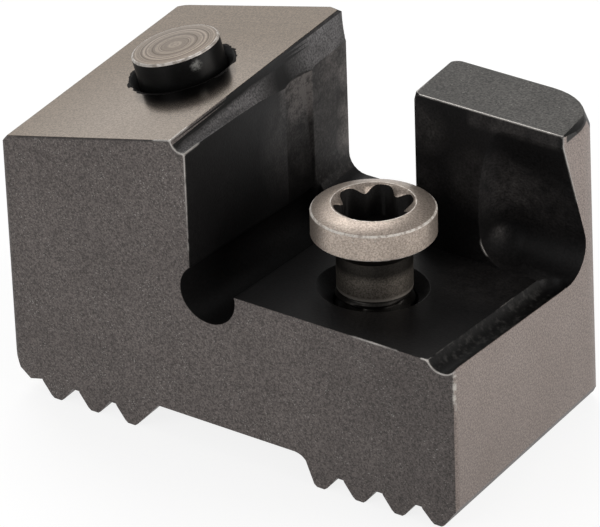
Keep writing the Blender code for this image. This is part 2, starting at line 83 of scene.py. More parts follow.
# Corners that are knocked off: the place, then each edge's direction with the length it loses
LIP_TIP = (-13.681, 12.7, 15.917)
LIP_TIP_CUT = (
    (Vector((-1.0, 0.0, -0.25)).normalized(), 0.6 * MM),
    (Vector((0.0, -1.0, 0.0)), 0.3 * MM),
    (Vector((0.0, 0.0, -1.0)), 0.22 * MM),
)
POST_TIP = (-7.51, 8.91, 15.18)
POST_TIP_CUT = (
    (Vector((1.0, 0.0, 0.0)), 0.28 * MM),
    (Vector((0.0, 1.0, 0.0)), 0.2 * MM),
    (Vector((0.0, 0.0, -1.0)), 0.3 * MM),
)

# Clamping screw: where its axis leaves the seat and its direction, then heights and radii from there
SCREW_FOOT = (-6.86, 4.47, 7.9968)
SCREW_AXIS = Vector((-0.026141, 0.052318, 0.998288))
NECK_LOW = 0.07
NECK_TOP = 2.5
NECK_RADIUS = 1.675
HEAD_RADIUS = 2.75
SOCKET_LOW = 2.3
SOCKET_RADIUS = 1.84
SOCKET_LEDGE = 3.2
MOUTH_RIM = 4.06
SHANK_TIP = -4.53
THREAD_RADIUS = 1.75
THREAD_ROOT = 1.42
THREAD_PITCH = 0.6
THREAD_STEEPNESS = 2.4
THREAD_ROOT_SHARE = 0.1
THREAD_SIDES = 48
THREAD_RINGS_A_TURN = 10
TIP_RADIUS = THREAD_ROOT - 0.1
TIP_SLOPE = 1.2
RUN_OUT_RADIUS = THREAD_ROOT + 0.2
RUN_OUT_SLOPE = 0.6
CLOSING_RADIUS = NECK_RADIUS - 0.015

# Locating pin, in the same way
PIN_FOOT = (-18.07, 6.57, 14.5356)
PIN_AXIS = Vector((-0.253595, -0.036289, 0.966629))
PIN_PROUD = 1.181
PIN_SUNK = 5.0
PIN_RADIUS = 2.0
PIN_CHAMFER = 0.16
PIN_RIM = 0.1
PIN_RIM_STEPS = 4
PIN_PLAIN_STEPS = 3
PIN_SIDES = 96
# The side toward which the painted reflection and shadow of the pin reach
PIN_REFLECTION_SIDE = Vector((0.641, -0.755, 0.14))

# Camera, fitted to the photograph's perspective
CAMERA_PLACE = (0.11711, -0.17130, 0.13262)
CAMERA_RIGHT = (0.83453, 0.55011, -0.03043)
CAMERA_UP = (-0.26400, 0.44776, 0.85429)
CAMERA_LENS = 331.5
CAMERA_SENSOR = 36.0

# Studio
LIGHT_TARGET = Vector((0.0, 0.0, 0.008))
WARM_WHITE = (1.0, 0.97, 0.93)
SOFT_WHITE = (1.0, 0.97, 0.94)
WORLD_STRENGTH = 0.3
FLOOR_SIZE = 3.0
FLOOR_GREY = (0.85, 0.85, 0.85, 1.0)
FLOOR_GLOW = 1.12
FLOOR_GLOW_SHARE = 0.75
WHITE = (1.0, 1.0, 1.0, 1.0)

# Colours, linear
BARE_STEEL = (0.5, 0.475, 0.45)
NICKED_STEEL = (0.55, 0.52, 0.48)

# Rubbed edges: their width, how far every edge is eased, and how much of the occlusion counts as an edge
EDGE_WEAR_WIDTH = 0.14 * MM
EDGE_EASE = 0.06 * MM
EDGE_SAMPLES = 8
EASE_SAMPLES = 6
OPEN_EDGE = (0.78, 0.57)

# Where edges are rubbed bare: a place in the corner frame, how far the wear reaches, and how strong it is
WEAR_SPOTS = (
    ((-14.0, 0.2, 14.9), 1.5, 0.55),
    ((-13.4, 0.0, 11.8), 3.4, 0.26),
    ((-5.5, 8.9, 15.2), 3.4, 0.34),
    ((-1.8, 8.9, 15.2), 2.8, 0.34),
    ((-4.2, 0.0, 8.3), 2.0, 0.28),
    ((-1.4, 1.5, 8.2), 1.6, 0.24),
    ((-1.4, 4.0, 8.0), 1.8, 0.22),
    ((-1.4, 6.4, 7.8), 1.3, 0.26),
    ((-0.6, 0.0, 7.4), 1.3, 0.5),
    ((-0.1, 0.0, 7.0), 0.9, 0.4),
    ((-1.45, 0.0, 8.3), 0.4, 0.5),
    ((-0.5, 0.0, 7.5), 0.5, 0.5),
    ((-4.16, 9.37, 8.31), 0.9, 0.5),
    ((-0.1, 8.9, 12.5), 3.0, 0.3),
)

# Where the pocket is painted lighter, as painted light and, in the recess, a painted highlight: a place in the
# corner frame, its reach, and how much lighter it is
POCKET_LIGHT_SPOTS = (
    ((-13.6, 9.4, 11.5), 3.6, 0.24),
    ((-3.2, 7.6, 7.8), 3.0, 0.07),
    ((-4.0, 10.1, 8.6), 0.6, 0.2),
    ((-4.1, 10.1, 8.6), 0.35, 0.3),
    ((-7.2, 8.9, 13.6), 1.5, 0.15),
    ((-7.3, 8.9, 11.0), 1.3, 0.08),
    ((-4.2, 10.5, 11.5), 2.6, 0.2),
    ((-2.0, 11.0, 11.0), 2.6, 0.11),
    ((-13.5, 12.7, 9.6), 1.1, 1.0),
    ((-13.5, 12.7, 11.0), 0.9, 0.6),
    ((-13.5, 12.7, 12.6), 0.9, 0.5),
    ((-13.5, 12.0, 13.9), 1.8, 0.35),
)

# Vector operations that give a number
MEASURES = ("LENGTH", "DISTANCE", "DOT_PRODUCT")


def clear_scene():
    for thing in list(bpy.data.objects):
        bpy.data.objects.remove(thing, do_unlink=True)


def corner(point):
    """A point of the frame, given in the corner frame in millimetres."""
    return Vector((point.x / MM - LENGTH / 2, point.y / MM + DEPTH / 2, point.z / MM))


def framed(x, y, z):
    """A point of the corner frame in millimetres, as a point of the frame."""
    return Vector((x + LENGTH / 2, y - DEPTH / 2, z)) * MM


def axis_matrix(direction, origin):
    """A frame whose z axis runs along direction, with its x axis parallel to the front face."""
    up = direction.normalized()
    right = Vector((0, 1, 0)).cross(up).normalized()
    matrix = Matrix((right, up.cross(right), up)).transposed().to_4x4()
    matrix.translation = origin
    return matrix


class Shader:
    """A material's node tree with a few short ways to add to it."""

    def __init__(self, name):
        self.material = bpy.data.materials.new(name)
        self.material.use_nodes = True
        self.tree = self.material.node_tree
        self.surface = self.tree.nodes["Principled BSDF"]
        self.place = self.tree.nodes.new("ShaderNodeTexCoord").outputs["Object"]

    def put(self, value, socket):
        """Links an output to a socket, or sets a constant on the socket itself."""
        if isinstance(value, bpy.types.NodeSocket):
            self.tree.links.new(value, socket)
        elif socket.type == "RGBA":
            socket.default_value = (*value, 1.0)
        else:
            socket.default_value = value

    def fill(self, node, values):
        """Puts values on a node's inputs, with an underscore for each blank in an input's name."""
        for name, value in values.items():
            self.put(value, node.inputs[name.replace("_", " ")])
        return node

    def give(self, **values):
        """Puts values on the surface's inputs."""
        self.fill(self.surface, values)

    def node(self, kind, **values):
        return self.fill(self.tree.nodes.new(kind), values)

    def noise(self, scale, detail=2.0, roughness=0.5, vector=None):
        values = {"Scale": scale, "Detail": detail, "Roughness": roughness}
        return self.node("ShaderNodeTexNoise", Vector=vector or self.place, **values).outputs["Fac"]

    def rings(self, radius, scale, detail):
        """Noise that changes with the radius alone, as a lathe leaves it."""
        node = self.tree.nodes.new("ShaderNodeTexNoise")
        node.noise_dimensions = "1D"
        return self.fill(node, {"W": radius, "Scale": scale, "Detail": detail, "Roughness": 0.7}).outputs["Fac"]

    def between(self, value, low, high, out_low=0.0, out_high=1.0):
        """The value, spread so that low..high gives out_low..out_high, and held between those."""
        values = {"From_Min": low, "From_Max": high, "To_Min": out_low, "To_Max": out_high}
        return self.node("ShaderNodeMapRange", Value=value, **values).outputs["Result"]

    def operate(self, kind, operation, values):
        node = self.tree.nodes.new(kind)
        node.operation = operation
        for value, socket in zip(values, node.inputs):
            self.put(value, socket)
        return node

    def math(self, operation, *values):
        return self.operate("ShaderNodeMath", operation, values).outputs["Value"]

    def plus(self, first, second):
        return self.math("ADD", first, second)

    def times(self, first, *others):
        for other in others:
            first = self.math("MULTIPLY", first, other)
        return first

    def mix(self, share, first, second):
        """A colour between two colours, each a tuple or an output."""
        node = self.node("ShaderNodeMix", Factor=share)
        node.data_type = "RGBA"
        for name, value in (("A", first), ("B", second)):
            self.put(value, next(i for i in node.inputs if i.name == name and i.type == "RGBA"))
        return next(o for o in node.outputs if o.type == "RGBA")

    def vector(self, operation, *values):
        node = self.operate("ShaderNodeVectorMath", operation, values)
        return node.outputs["Value" if operation in MEASURES else "Vector"]

    def scaled(self, vector, factor):
        node = self.operate("ShaderNodeVectorMath", "SCALE", (vector,))
        self.put(factor, node.inputs["Scale"])
        return node.outputs["Vector"]

    def offset(self, foot):
        return self.vector("SUBTRACT", self.place, foot)

    def along(self, direction, foot=None):
        """How far each point lies along a direction, from a foot or else from the origin."""
        return self.vector("DOT_PRODUCT", self.place if foot is None else self.offset(foot), direction)

    def from_axis(self, foot, direction):
        """Each point's distance from an axis through a foot."""
        on_axis = self.scaled(direction, self.along(direction, foot))
        return self.vector("DISTANCE", self.offset(foot), on_axis)

    def near(self, point, reach):
        """1 near a point, falling to 0 at the reach."""
        full = reach * 0.4
        return self.between(self.vector("DISTANCE", self.place, point), reach, full)

    def within(self, low, high, soft):
        """1 inside a box of the corner frame, falling to 0 over the soft distance beyond it."""
        under = self.vector("SUBTRACT", framed(*low), self.place)
        over = self.vector("SUBTRACT", self.place, framed(*high))
        beyond = self.vector("MAXIMUM", self.vector("MAXIMUM", under, over), (0.0, 0.0, 0.0))
        return self.between(self.vector("LENGTH", beyond), soft, 0.0)

    def faded(self, tone, direction, start, end, first, last):
        """The tone, scaled by a factor that changes from first to last between two places along a direction."""
        return self.scaled(tone, self.between(self.along(direction), start, end, first, last))

    def gathered(self, share, spots):
        """The share, raised near each of the spots."""
        for place, reach, amount in spots:
            share = self.plus(share, self.times(self.near(framed(*place), reach * MM), amount))
        return share

    def edge_wear(self, base):
        """1 where an outer edge is rubbed bare, in patches, more so near the worn spots."""
        edge = self.node("ShaderNodeAmbientOcclusion", Distance=EDGE_WEAR_WIDTH)
        edge.inside = True
        edge.only_local = True
        edge.samples = EDGE_SAMPLES
        patches = self.plus(self.times(self.noise(700.0, 3.0, 0.7), 0.6), base)
        worn_enough = self.between(self.gathered(patches, WEAR_SPOTS), 0.5, 0.66)
        return self.times(self.between(edge.outputs["AO"], *OPEN_EDGE), worn_enough)

    def rubbed(self, tone, base=0.0):
        """Colours the surface, with bare steel along the rubbed edges, and gives where it is bare."""
        bare = self.edge_wear(base)
        self.give(Base_Color=self.mix(bare, tone, BARE_STEEL))
        return bare

    def bump(self, height, strength, distance, eased=False):
        """The surface's relief, with every edge eased by a small radius where that is asked for."""
        node = self.node("ShaderNodeBump", Strength=strength, Distance=distance, Height=height)
        if eased:
            bevel = self.node("ShaderNodeBevel", Radius=EDGE_EASE)
            bevel.samples = EASE_SAMPLES
            self.put(bevel.outputs["Normal"], node.inputs["Normal"])
        self.give(Normal=node.outputs["Normal"])


def shade(colour, factor):
    return tuple(channel * factor for channel in colour)


def satin(
    name, colour, roughness, metallic,
    grain=0.16, fineness=13000.0, blotch=0.12, flecks=0.0, wear=None, shine=0.5, touch=None,
):
    """Blackened steel with a fine grain, soft blotches, bright flecks and a last touch by place."""
    shader = Shader(name)
    shader.give(Metallic=metallic, Specular_IOR_Level=shine)
    fine = shader.noise(fineness, 2.0, 0.6)
    coarse = shader.noise(420.0, 3.0)
    tone = shader.mix(shader.between(fine, 0.35, 0.65), shade(colour, 1 - grain), shade(colour, 1 + grain))
    tone = shader.mix(shader.between(coarse, 0.3, 0.7, 0.0, blotch), tone, shade(colour, 0.35))
    if flecks:
        dots = shader.noise(15000.0, 1.0, 0.4)
        level = shader.plus(dots, shader.times(shader.noise(900.0, 2.0), 0.25))
        tone = shader.mix(shader.between(level, 0.8, 0.92, 0.0, flecks), tone, BARE_STEEL)
    if touch:
        tone = touch(shader, tone)
    rough = shader.between(coarse, 0.3, 0.7, roughness - 0.03, roughness + 0.03)
    if wear is None:
        shader.give(Base_Color=tone)
    else:
        bare = shader.rubbed(tone, wear)
        rough = shader.math("SUBTRACT", rough, shader.times(bare, 0.1))
        shader.give(Metallic=shader.math("MAXIMUM", bare, metallic))
    shader.give(Roughness=rough)
    shader.bump(fine, 0.25, 0.01 * MM, eased=wear is not None)
    return shader.material


def nicked(shader, tone):
    """Bright nicks down the corner below the end of the groove."""
    on_corner = shader.within((-0.1, -0.1, 5.5), (0.1, 0.1, 8.0), 0.08 * MM)
    at_top = shader.near(framed(0.0, 0.0, 7.4), 1.5 * MM)
    ragged = shader.between(shader.noise(2500.0, 3.0, 0.7), 0.42, 0.58, 0.0, 0.9)
    return shader.mix(shader.times(on_corner, at_top, ragged), tone, NICKED_STEEL)


def front_touch(shader, tone):
    """Darker toward the right, with a black line just under the clamping face, and nicked."""
    tone = shader.faded(tone, (1.0, 0.0, 0.0), framed(-9.0, 0, 0).x, framed(-0.5, 0, 0).x, 0.92, 0.66)
    line = shader.between(shader.along(PIN_AXIS, framed(*PIN_FOOT)), -0.13 * MM, -0.05 * MM, 0.0, 0.7)
    line = shader.times(line, shader.within((-22.3, -1.0, 0.0), (-14.9, 0.3, 20.0), 0.6 * MM))
    return nicked(shader, shader.mix(line, tone, (0.02, 0.018, 0.017)))


def side_touch(shader, tone):
    """Lighter upward, dark along the top of the post's rounded corner, and nicked."""
    tone = shader.faded(tone, (0.0, 0.0, 1.0), 2.0 * MM, 13.0 * MM, 0.88, 1.08)
    band = shader.within((-0.5, 9.2, 14.78), (0.1, 11.7, 15.4), 0.06 * MM)
    return nicked(shader, shader.mix(shader.times(band, 0.97), tone, (0.006, 0.0055, 0.005)))


def corner_touch(shader, tone):
    """Black along the lower side of the post's chamfer."""
    low = shader.between(shader.along((1.0, 0.0, 0.0)), framed(-0.3, 0, 0).x, framed(-0.16, 0, 0).x)
    return shader.mix(low, tone, (0.004, 0.0037, 0.0035))


def neck_touch(shader, tone):
    """Painted shadow of the head, black under it, and a painted highlight along the neck's lower rim."""
    height = shader.along(SCREW_AXIS, framed(*SCREW_FOOT))
    # Painted shadow of the head on the neck
    tone = shader.mix(shader.between(height, 0.95 * MM, 1.3 * MM, 0.0, 0.86), tone, (0.012, 0.011, 0.01))
    # Painted highlight along the neck's lower rim
    return shader.mix(shader.between(height, 0.24 * MM, 0.14 * MM, 0.0, 0.8), tone, (0.42, 0.38, 0.34))


def pin_touch(shader, tone):
    """A small painted highlight on the pin's side."""
    painted_highlight = shader.near(framed(-16.6, 5.57, 15.6), 0.34 * MM)
    ragged = shader.between(shader.noise(5000.0, 3.0, 0.7), 0.4, 0.6)
    return shader.mix(shader.times(painted_highlight, ragged), tone, (0.22, 0.22, 0.21))


def worn(name, colour, bright, share):
    """The rims, where handling has rubbed the steel bright in patches."""
    shader = Shader(name)
    patches = shader.noise(4200.0, 3.0, 0.65)
    bare = shader.between(patches, 0.62 - share * 0.4, 0.72 - share * 0.3)
    rough = shader.between(bare, 0.0, 1.0, 0.5, 0.32)
    shader.give(Metallic=0.25, Base_Color=shader.mix(bare, colour, bright), Roughness=rough)
    shader.bump(shader.noise(6000.0), 0.2, 0.01 * MM)
    return shader.material


def painted_pin_reflection(shader):
    """Painted reflection and shadow of the pin: dark beside the pin, along its front right side, and fading
    beyond it.
    """
    foot = framed(*PIN_FOOT)
    length = 1.6 * MM
    reached = shader.between(shader.along(PIN_REFLECTION_SIDE, foot), 0.0, length, 0.0, length)
    beside = shader.vector("DISTANCE", shader.offset(foot), shader.scaled(PIN_REFLECTION_SIDE, reached))
    return shader.between(beside, 2.4 * MM, 1.75 * MM, 0.0, 0.9)


def clamp_finish():
    """The ground clamping face: fine parallel lines, painted light toward its front right, a painted reflection
    and shadow of the pin, and a torn black ring round the pin's hole.
    """
    shader = Shader("ground_clamp_face")
    fine = shader.noise(12000.0, 2.0, 0.6)
    coarse = shader.noise(350.0, 3.0)
    drawn_out = shader.node(
        "ShaderNodeMapping", Scale=(260.0, 5200.0, 260.0), Rotation=(0.0, 0.0, 0.5), Vector=shader.place,
    )
    lines = shader.noise(1.0, 3.0, 0.6, drawn_out.outputs["Vector"])
    tone = shader.mix(shader.between(lines, 0.3, 0.7), (0.182, 0.143, 0.11), (0.216, 0.171, 0.132))
    tone = shader.mix(shader.between(fine, 0.42, 0.6, 0.0, 0.8), tone, (0.1, 0.081, 0.063))
    tone = shader.mix(shader.between(coarse, 0.35, 0.75, 0.0, 0.25), tone, (0.155, 0.128, 0.102))
    # Painted light: the face is painted lighter toward its front right
    painted_light = shader.mix(shader.between(fine, 0.4, 0.6), (0.36, 0.315, 0.278), (0.25, 0.218, 0.19))
    tone = shader.mix(shader.times(shader.near(framed(-15.0, 1.0, 14.0), 9.0 * MM), 0.6), tone, painted_light)
    # Painted reflection and shadow of the pin on the face beside it
    tone = shader.mix(painted_pin_reflection(shader), tone, (0.016, 0.0155, 0.0155))
    radius = shader.from_axis(framed(*PIN_FOOT), PIN_AXIS)
    torn = shader.times(shader.noise(1300.0, 4.0, 0.6), 0.6 * MM)
    outside = shader.between(shader.plus(radius, torn), 2.77 * MM, 2.8 * MM)
    shader.rubbed(shader.mix(outside, (0.012, 0.011, 0.011), tone))
    ring_roughness = 0.75
    smoother = shader.math("SUBTRACT", ring_roughness, shader.between(coarse, 0.3, 0.7, 0.15, 0.2))
    rough = shader.math("SUBTRACT", ring_roughness, shader.times(outside, smoother))
    shader.give(Metallic=1.0, Roughness=rough)
    shader.bump(shader.plus(shader.times(lines, 0.4), fine), 0.12, 0.005 * MM, eased=True)
    return shader.material


def pocket_light_and_patches(shader, fine, mottle):
    """How much lighter the pocket is painted: painted light at its spots, on the wall at the cutter's run-out
    and under the post's top, and random patches.
    """
    # Painted light on the wall where the cutter runs out, and in a band under the post's top
    run_out = shader.within((-14.3, 5.0, 11.2), (-13.2, 9.93, 14.05), 0.08 * MM)
    run_out = shader.times(run_out, shader.near(framed(-13.6, 9.8, 13.7), 2.2 * MM))
    under_top = shader.within((-4.6, 8.8, 14.55), (-0.4, 9.8, 15.4), 0.3 * MM)
    lighter = shader.gathered(shader.plus(run_out, shader.times(under_top, 0.17)), POCKET_LIGHT_SPOTS)
    patchy = shader.between(shader.noise(1500.0, 4.0, 0.75), 0.35, 0.65, 0.35, 1.45)
    lighter = shader.times(lighter, patchy, shader.between(fine, 0.35, 0.65, 0.6, 1.35))
    if mottle:
        patches = shader.noise(4200.0, 3.0, 0.7)
        lighter = shader.plus(lighter, shader.between(patches, 0.5, 0.72, 0.0, mottle))
    return lighter


def pocket_finish(name, colour, roughness, shine, lumps, glints=0.0, mottle=0.0):
    """The blackened milling inside the pocket, painted lighter in places as painted light, and lumpy where dirt
    has caked.
    """
    shader = Shader(name)
    shader.give(Specular_IOR_Level=shine)
    fine = shader.noise(9000.0, 2.0, 0.6)
    coarse = shader.noise(500.0, 3.0)
    tone = shader.mix(shader.between(fine, 0.3, 0.7), shade(colour, 0.45), shade(colour, 1.6))
    # Painted light where the pocket is painted lighter
    tone = shader.mix(pocket_light_and_patches(shader, fine, mottle), tone, (0.13, 0.118, 0.113))
    if glints:
        dots = shader.noise(3500.0, 2.0, 0.6)
        tone = shader.mix(shader.between(dots, 0.52, 0.7, 0.0, glints), tone, (0.1, 0.095, 0.09))
    rough = shader.between(coarse, 0.3, 0.7, roughness - 0.05, roughness + 0.05)
    shader.give(Metallic=shader.rubbed(tone), Roughness=rough)
    shader.bump(shader.plus(shader.times(fine, 0.7), shader.times(coarse, lumps)), 0.3, 0.03 * MM, eased=True)
    return shader.material


def cove_finish():
    """The cove: painted shade, near black, under the clamping face, and painted light lower down and at the
    back.
    """
    shader = Shader("cove_milled")
    fine = shader.noise(11000.0, 2.0, 0.6)
    coarse = shader.noise(700.0, 3.0)
    below = shader.vector("DOT_PRODUCT", shader.vector("SUBTRACT", framed(*PIN_FOOT), shader.place), PIN_AXIS)
    # Painted light lower down the cove and at its back; elsewhere it is painted shade
    painted_light = shader.between(shader.plus(below, shader.times(coarse, 0.2 * MM)), 0.5 * MM, 0.72 * MM)
    painted_light = shader.times(painted_light, shader.within((-15.0, -1.0, 13.0), (-13.0, 5.6, 16.5), 2.2 * MM))
    painted_light = shader.math("MAXIMUM", painted_light, shader.near(framed(-13.7, 11.2, 15.3), 2.9 * MM))
    lit = shader.mix(shader.between(fine, 0.35, 0.65), (0.05, 0.048, 0.049), (0.17, 0.163, 0.164))
    lit = shader.mix(shader.between(coarse, 0.35, 0.7, 0.0, 0.4), lit, (0.05, 0.048, 0.048))
    shader.rubbed(shader.mix(painted_light, (0.007, 0.0068, 0.0066), lit))
    rough = shader.between(coarse, 0.3, 0.7, 0.42, 0.5)
    shader.give(Metallic=0.4, Specular_IOR_Level=0.15, Roughness=rough)
    shader.bump(fine, 0.3, 0.01 * MM, eased=True)
    return shader.material


def turned_face(name, foot, direction):
    """The pin's end, with the rings and the dark specks that facing on a lathe leaves."""
    shader = Shader(name)
    radius = shader.from_axis(foot, direction)
    wobble = shader.times(shader.noise(500.0, 2.0), 0.12 * MM)
    bands = shader.rings(shader.plus(radius, wobble), 5200.0, 3.0)
    fine = shader.noise(9000.0, 2.0, 0.6)
    tone = shader.mix(shader.between(bands, 0.36, 0.66), (0.11, 0.088, 0.07), (0.34, 0.29, 0.245))
    tone = shader.mix(shader.between(fine, 0.5, 0.7, 0.0, 0.5), tone, (0.12, 0.1, 0.085))
    shader.give(Metallic=1.0, Base_Color=tone, Roughness=shader.between(bands, 0.3, 0.7, 0.46, 0.36))
    shader.bump(shader.plus(bands, shader.times(fine, 0.4)), 0.3, 0.02 * MM)
    return shader.material


# The finishes of the body, in the order of its materials
GROUND, SIDE, FRONT, POST, POCKET, COVE, DARK, GROOVE, LIP = range(9)


def body_materials():
    return [
        clamp_finish(),
        satin(
            "ground_right_face", (0.243, 0.202, 0.182), 0.5, 0.6,
            grain=0.36, blotch=0.05, wear=0.02, touch=side_touch,
        ),
        satin(
            "blasted_front", (0.13, 0.112, 0.105), 0.55, 0.6,
            grain=0.5, flecks=0.7, wear=0.02, touch=front_touch,
        ),
        satin(
            "post_top", (0.053, 0.051, 0.048), 0.36, 0.8,
            grain=0.8, fineness=9500.0, blotch=0.3, flecks=0.3, wear=0.08,
        ),
        pocket_finish("pocket_black", (0.0058, 0.0054, 0.0055), 0.5, 0.16, 0.2),
        cove_finish(),
        satin(
            "post_corner_dark", (0.036, 0.034, 0.032), 0.5, 0.5,
            grain=0.5, wear=0.0, shine=0.2, touch=corner_touch,
        ),
        pocket_finish("groove_black", (0.0045, 0.0043, 0.0041), 0.45, 0.2, 4.0, glints=0.3),
        pocket_finish("lip_black", (0.009, 0.0078, 0.0073), 0.6, 0.2, 0.6, mottle=0.3),
    ]


def zone(face):
    """Which finish a face of the body has, from where it lies and where it faces."""
    x, y, z = corner(face.calc_center_median())
    normal = face.normal
    inside = x > -WALL_FROM_RIGHT - 0.6 and z > 2.0 and 0.02 < y < DEPTH - 0.02
    back_corner = x > -2.6 and y > 11.0 and normal.y > 0.2 and normal.z < 0.3
    pin_hole = x < -WALL_FROM_RIGHT - 1.0 and 2.0 < y < DEPTH - 2.0 and z > 8.0 and normal.x > -0.9
    post_top = x > -9.0 and y > POST_FRONT - 0.1 and z > 13.0 and normal.z > 0.3
    cove = inside and x < -WALL_FROM_RIGHT + 0.3 and z > 12.5 and normal.z > 0.02
    post_corner = x > -2.6 and y > POST_FRONT + 0.3 and z > 10.0 and normal.x > 0.3
    right_face = x > -0.1
    groove = inside and x > -2.1 and y < 8.5 and z < 8.2 and abs(normal.z) < 0.995
    lip = inside and x < -13.3 and y > 10.1
    above_foot = z > 0.9
    if normal.dot(PIN_AXIS) > 0.999:
        return GROUND
    if back_corner:
        return SIDE if normal.x > 0.5 and above_foot else FRONT
    if pin_hole:
        return POCKET
    if post_top:
        return POST if normal.z > 0.97 else DARK
    if cove:
        return COVE
    if right_face or post_corner:
        return SIDE if normal.x > 0.2 and above_foot else FRONT
    if groove:
        return GROOVE
    if lip:
        return LIP
    return POCKET if inside else FRONT


def cad_copy(node):
    """The frame's solid as one welded mesh with whole flat faces."""
    shape = bmesh.new()
    shape.from_mesh(node.data)
    bmesh.ops.remove_doubles(shape, verts=shape.verts, dist=WELD_DISTANCE)
    bmesh.ops.dissolve_limit(shape, angle_limit=FLAT_ANGLE, verts=shape.verts, edges=shape.edges)
    shape.normal_update()
    return shape


def add_piece(name, shape, materials, body, node):
    """A finished mesh that stands for a node and rides with its body."""
    mesh = bpy.data.meshes.new(name)
    shape.to_mesh(mesh)
    shape.free()
    mesh.set_sharp_from_angle(angle=SHARP_ANGLE)
    for polygon in mesh.polygons:
        polygon.use_smooth = polygon.area < FLAT_AREA
    for material in materials:
        mesh.materials.append(material)
    piece = bpy.data.objects.new(name, mesh)
    bpy.context.scene.collection.objects.link(piece)
    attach(piece, body)
    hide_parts(node)


def cut_corner(shape, tip, cuts):
    """Cuts off a corner where three edges meet, at a distance along each edge, and closes it flat."""
    point = min(shape.verts, key=lambda vertex: (vertex.co - tip).length)
    ends = []
    for edge in list(point.link_edges):
        other = edge.other_vert(point)
        line = other.co - point.co
        loss = next(loss for direction, loss in cuts if line.normalized().dot(direction) > 0.9)
        # An edge that would lose nearly all its length is cut at its far end
        if loss < line.length * 0.95:
            other = bmesh.utils.edge_split(edge, point, loss / line.length)[1]
        ends.append(other)
    for face in list(point.link_faces):
        pair = [vertex for vertex in face.verts if vertex in ends]
        if len(face.verts) > 3:
            bmesh.utils.face_split(face, *pair)
    bmesh.ops.delete(shape, geom=[point], context="VERTS")
    shape.faces.new(ends)
    bmesh.ops.recalc_face_normals(shape, faces=shape.faces)


def dress_body(node):
    """The body as it is in the frame, with worn corners and a finish for each kind of face."""
    shape = cad_copy(node)
    for vertex in shape.verts:
        place = corner(vertex.co)
        if place.x > -WORN_TOOTH_FROM_RIGHT and place.z < WORN_TOOTH_HEIGHT:
            vertex.co.z += (CREST_WEAR if place.z < CREST_HEIGHT else CORNER_WEAR) * MM
    cut_corner(shape, framed(*LIP_TIP), LIP_TIP_CUT)
    cut_corner(shape, framed(*POST_TIP), POST_TIP_CUT)
    for face in shape.faces:
        face.material_index = zone(face)
    add_piece("cassette_skin", shape, body_materials(), "cassette", "cassette_body")


def circle(radius, height, sides):
    """Points round the z axis, in metres, from a radius and a height in millimetres."""
    turns = [2 * math.pi * side / sides for side in range(sides)]
    return [Vector((radius * math.cos(turn), radius * math.sin(turn), height)) * MM for turn in turns]


def thread_radius(height, share_of_turn):
    """The thread's radius at a height and a share of a turn, tapered at its tip and under the neck."""
    phase = (height / THREAD_PITCH - share_of_turn) % 1.0
    ridge = min(max(abs(phase - 0.5) * THREAD_STEEPNESS - THREAD_ROOT_SHARE, 0.0), 1.0)
    radius = THREAD_ROOT + (THREAD_RADIUS - THREAD_ROOT) * ridge
    tip = TIP_RADIUS + (height - SHANK_TIP) * TIP_SLOPE
    run_out = RUN_OUT_RADIUS + (NECK_LOW - height) * RUN_OUT_SLOPE
    return min(radius, tip, max(run_out, THREAD_ROOT))


def thread(shape, frame_of_screw):
    """The helical thread of the shank, up to a ring that closes against the neck."""
    steps = int((NECK_LOW - SHANK_TIP) / THREAD_PITCH * THREAD_RINGS_A_TURN)
    rings = []
    for step in range(steps + 1):
        height = SHANK_TIP + (NECK_LOW - SHANK_TIP) * step / steps
        ring = []
        for side in range(THREAD_SIDES):
            turn = 2 * math.pi * side / THREAD_SIDES
            radius = CLOSING_RADIUS if step == steps else thread_radius(height, side / THREAD_SIDES)
            point = Vector((radius * math.cos(turn), radius * math.sin(turn), height)) * MM
            ring.append(shape.verts.new(frame_of_screw @ point))
        rings.append(ring)
    faces = []
    for low, high in zip(rings, rings[1:]):
        for side in range(THREAD_SIDES):
            following = (side + 1) % THREAD_SIDES
            faces.append(shape.faces.new((low[side], low[following], high[following], high[side])))
    faces.append(shape.faces.new(list(reversed(rings[0]))))
    faces.append(shape.faces.new(rings[-1]))
    return faces


# The finishes of the screw, in the order of its materials
HEAD, NECK, SOCKET, RIM, SHANK = range(5)


def screw_zone(face, back):
    """Which finish a face of the screw has. The matrix takes a point to the screw's own axes."""
    height = (back @ face.calc_center_median()).z / MM
    reach = max((back @ vertex.co).xy.length / MM for vertex in face.verts)
    rise = face.normal.dot(SCREW_AXIS)
    head_edge = reach > HEAD_RADIUS - 0.01 and 0.3 < abs(rise) < 0.9
    if head_edge or height > MOUTH_RIM:
        return RIM
    if height > SOCKET_LOW and reach < SOCKET_RADIUS:
        return HEAD if rise > 0.3 and height > SOCKET_LEDGE else SOCKET
    return NECK if height < NECK_TOP else HEAD


def screw_materials():
    return [
        satin("mottled_screw", (0.47, 0.395, 0.337), 0.42, 0.75, grain=0.33, blotch=0.45, flecks=0.6),
        satin("screw_neck", (0.19, 0.167, 0.142), 0.45, 0.9, grain=0.45, blotch=0.3, touch=neck_touch),
        satin("socket_wall", (0.009, 0.008, 0.0075), 0.6, 0.2, grain=0.4, shine=0.15),
        worn("screw_rim", (0.42, 0.36, 0.315), (0.78, 0.73, 0.67), 0.6),
        # The thread is painted near black, as painted shade down in the hole
        satin("thread_in_painted_shade", (0.02, 0.018, 0.016), 0.35, 0.8, grain=0.35, blotch=0.3),
    ]


